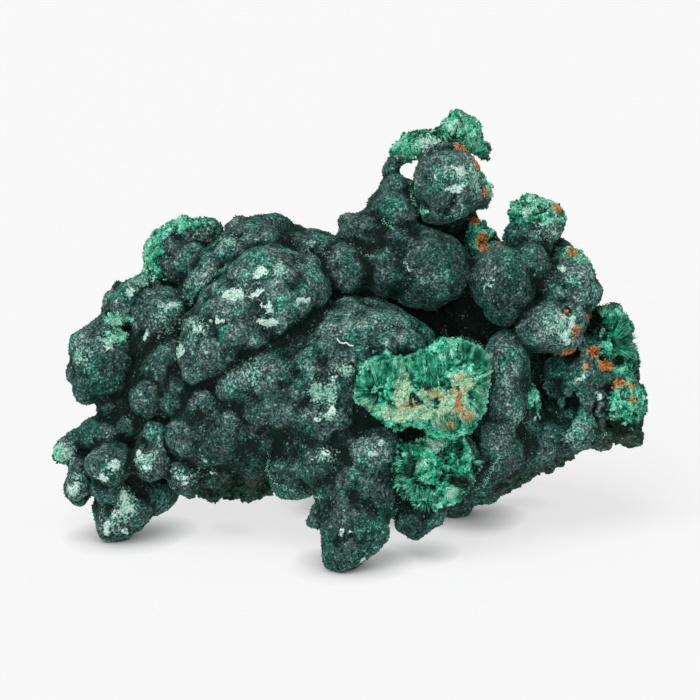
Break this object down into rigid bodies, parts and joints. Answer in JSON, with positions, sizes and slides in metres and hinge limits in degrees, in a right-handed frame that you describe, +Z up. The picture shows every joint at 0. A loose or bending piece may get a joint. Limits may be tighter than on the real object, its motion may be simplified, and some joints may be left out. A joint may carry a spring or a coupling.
{
  "type": "malachite specimen",
  "caption": "Botryoidal malachite mineral specimen: fused rounded lobes with a snapped-off fibrous stub and split edges, standing on its own feet as a display piece.",
  "frame": {"origin": "centre of the bounding box on the plane the feet rest on", "axes": "+Z up, +X along the specimen's length to the right of its display side, the display side faces -Y"},
  "size_m": [0.1007, 0.0553, 0.0707],
  "materials": {
    "malachite": "velvety, dark green with pale green bloom"
  },
  "bodies": {
    "root": {"malachite_specimen": "malachite"}
  },
  "joints": []
}
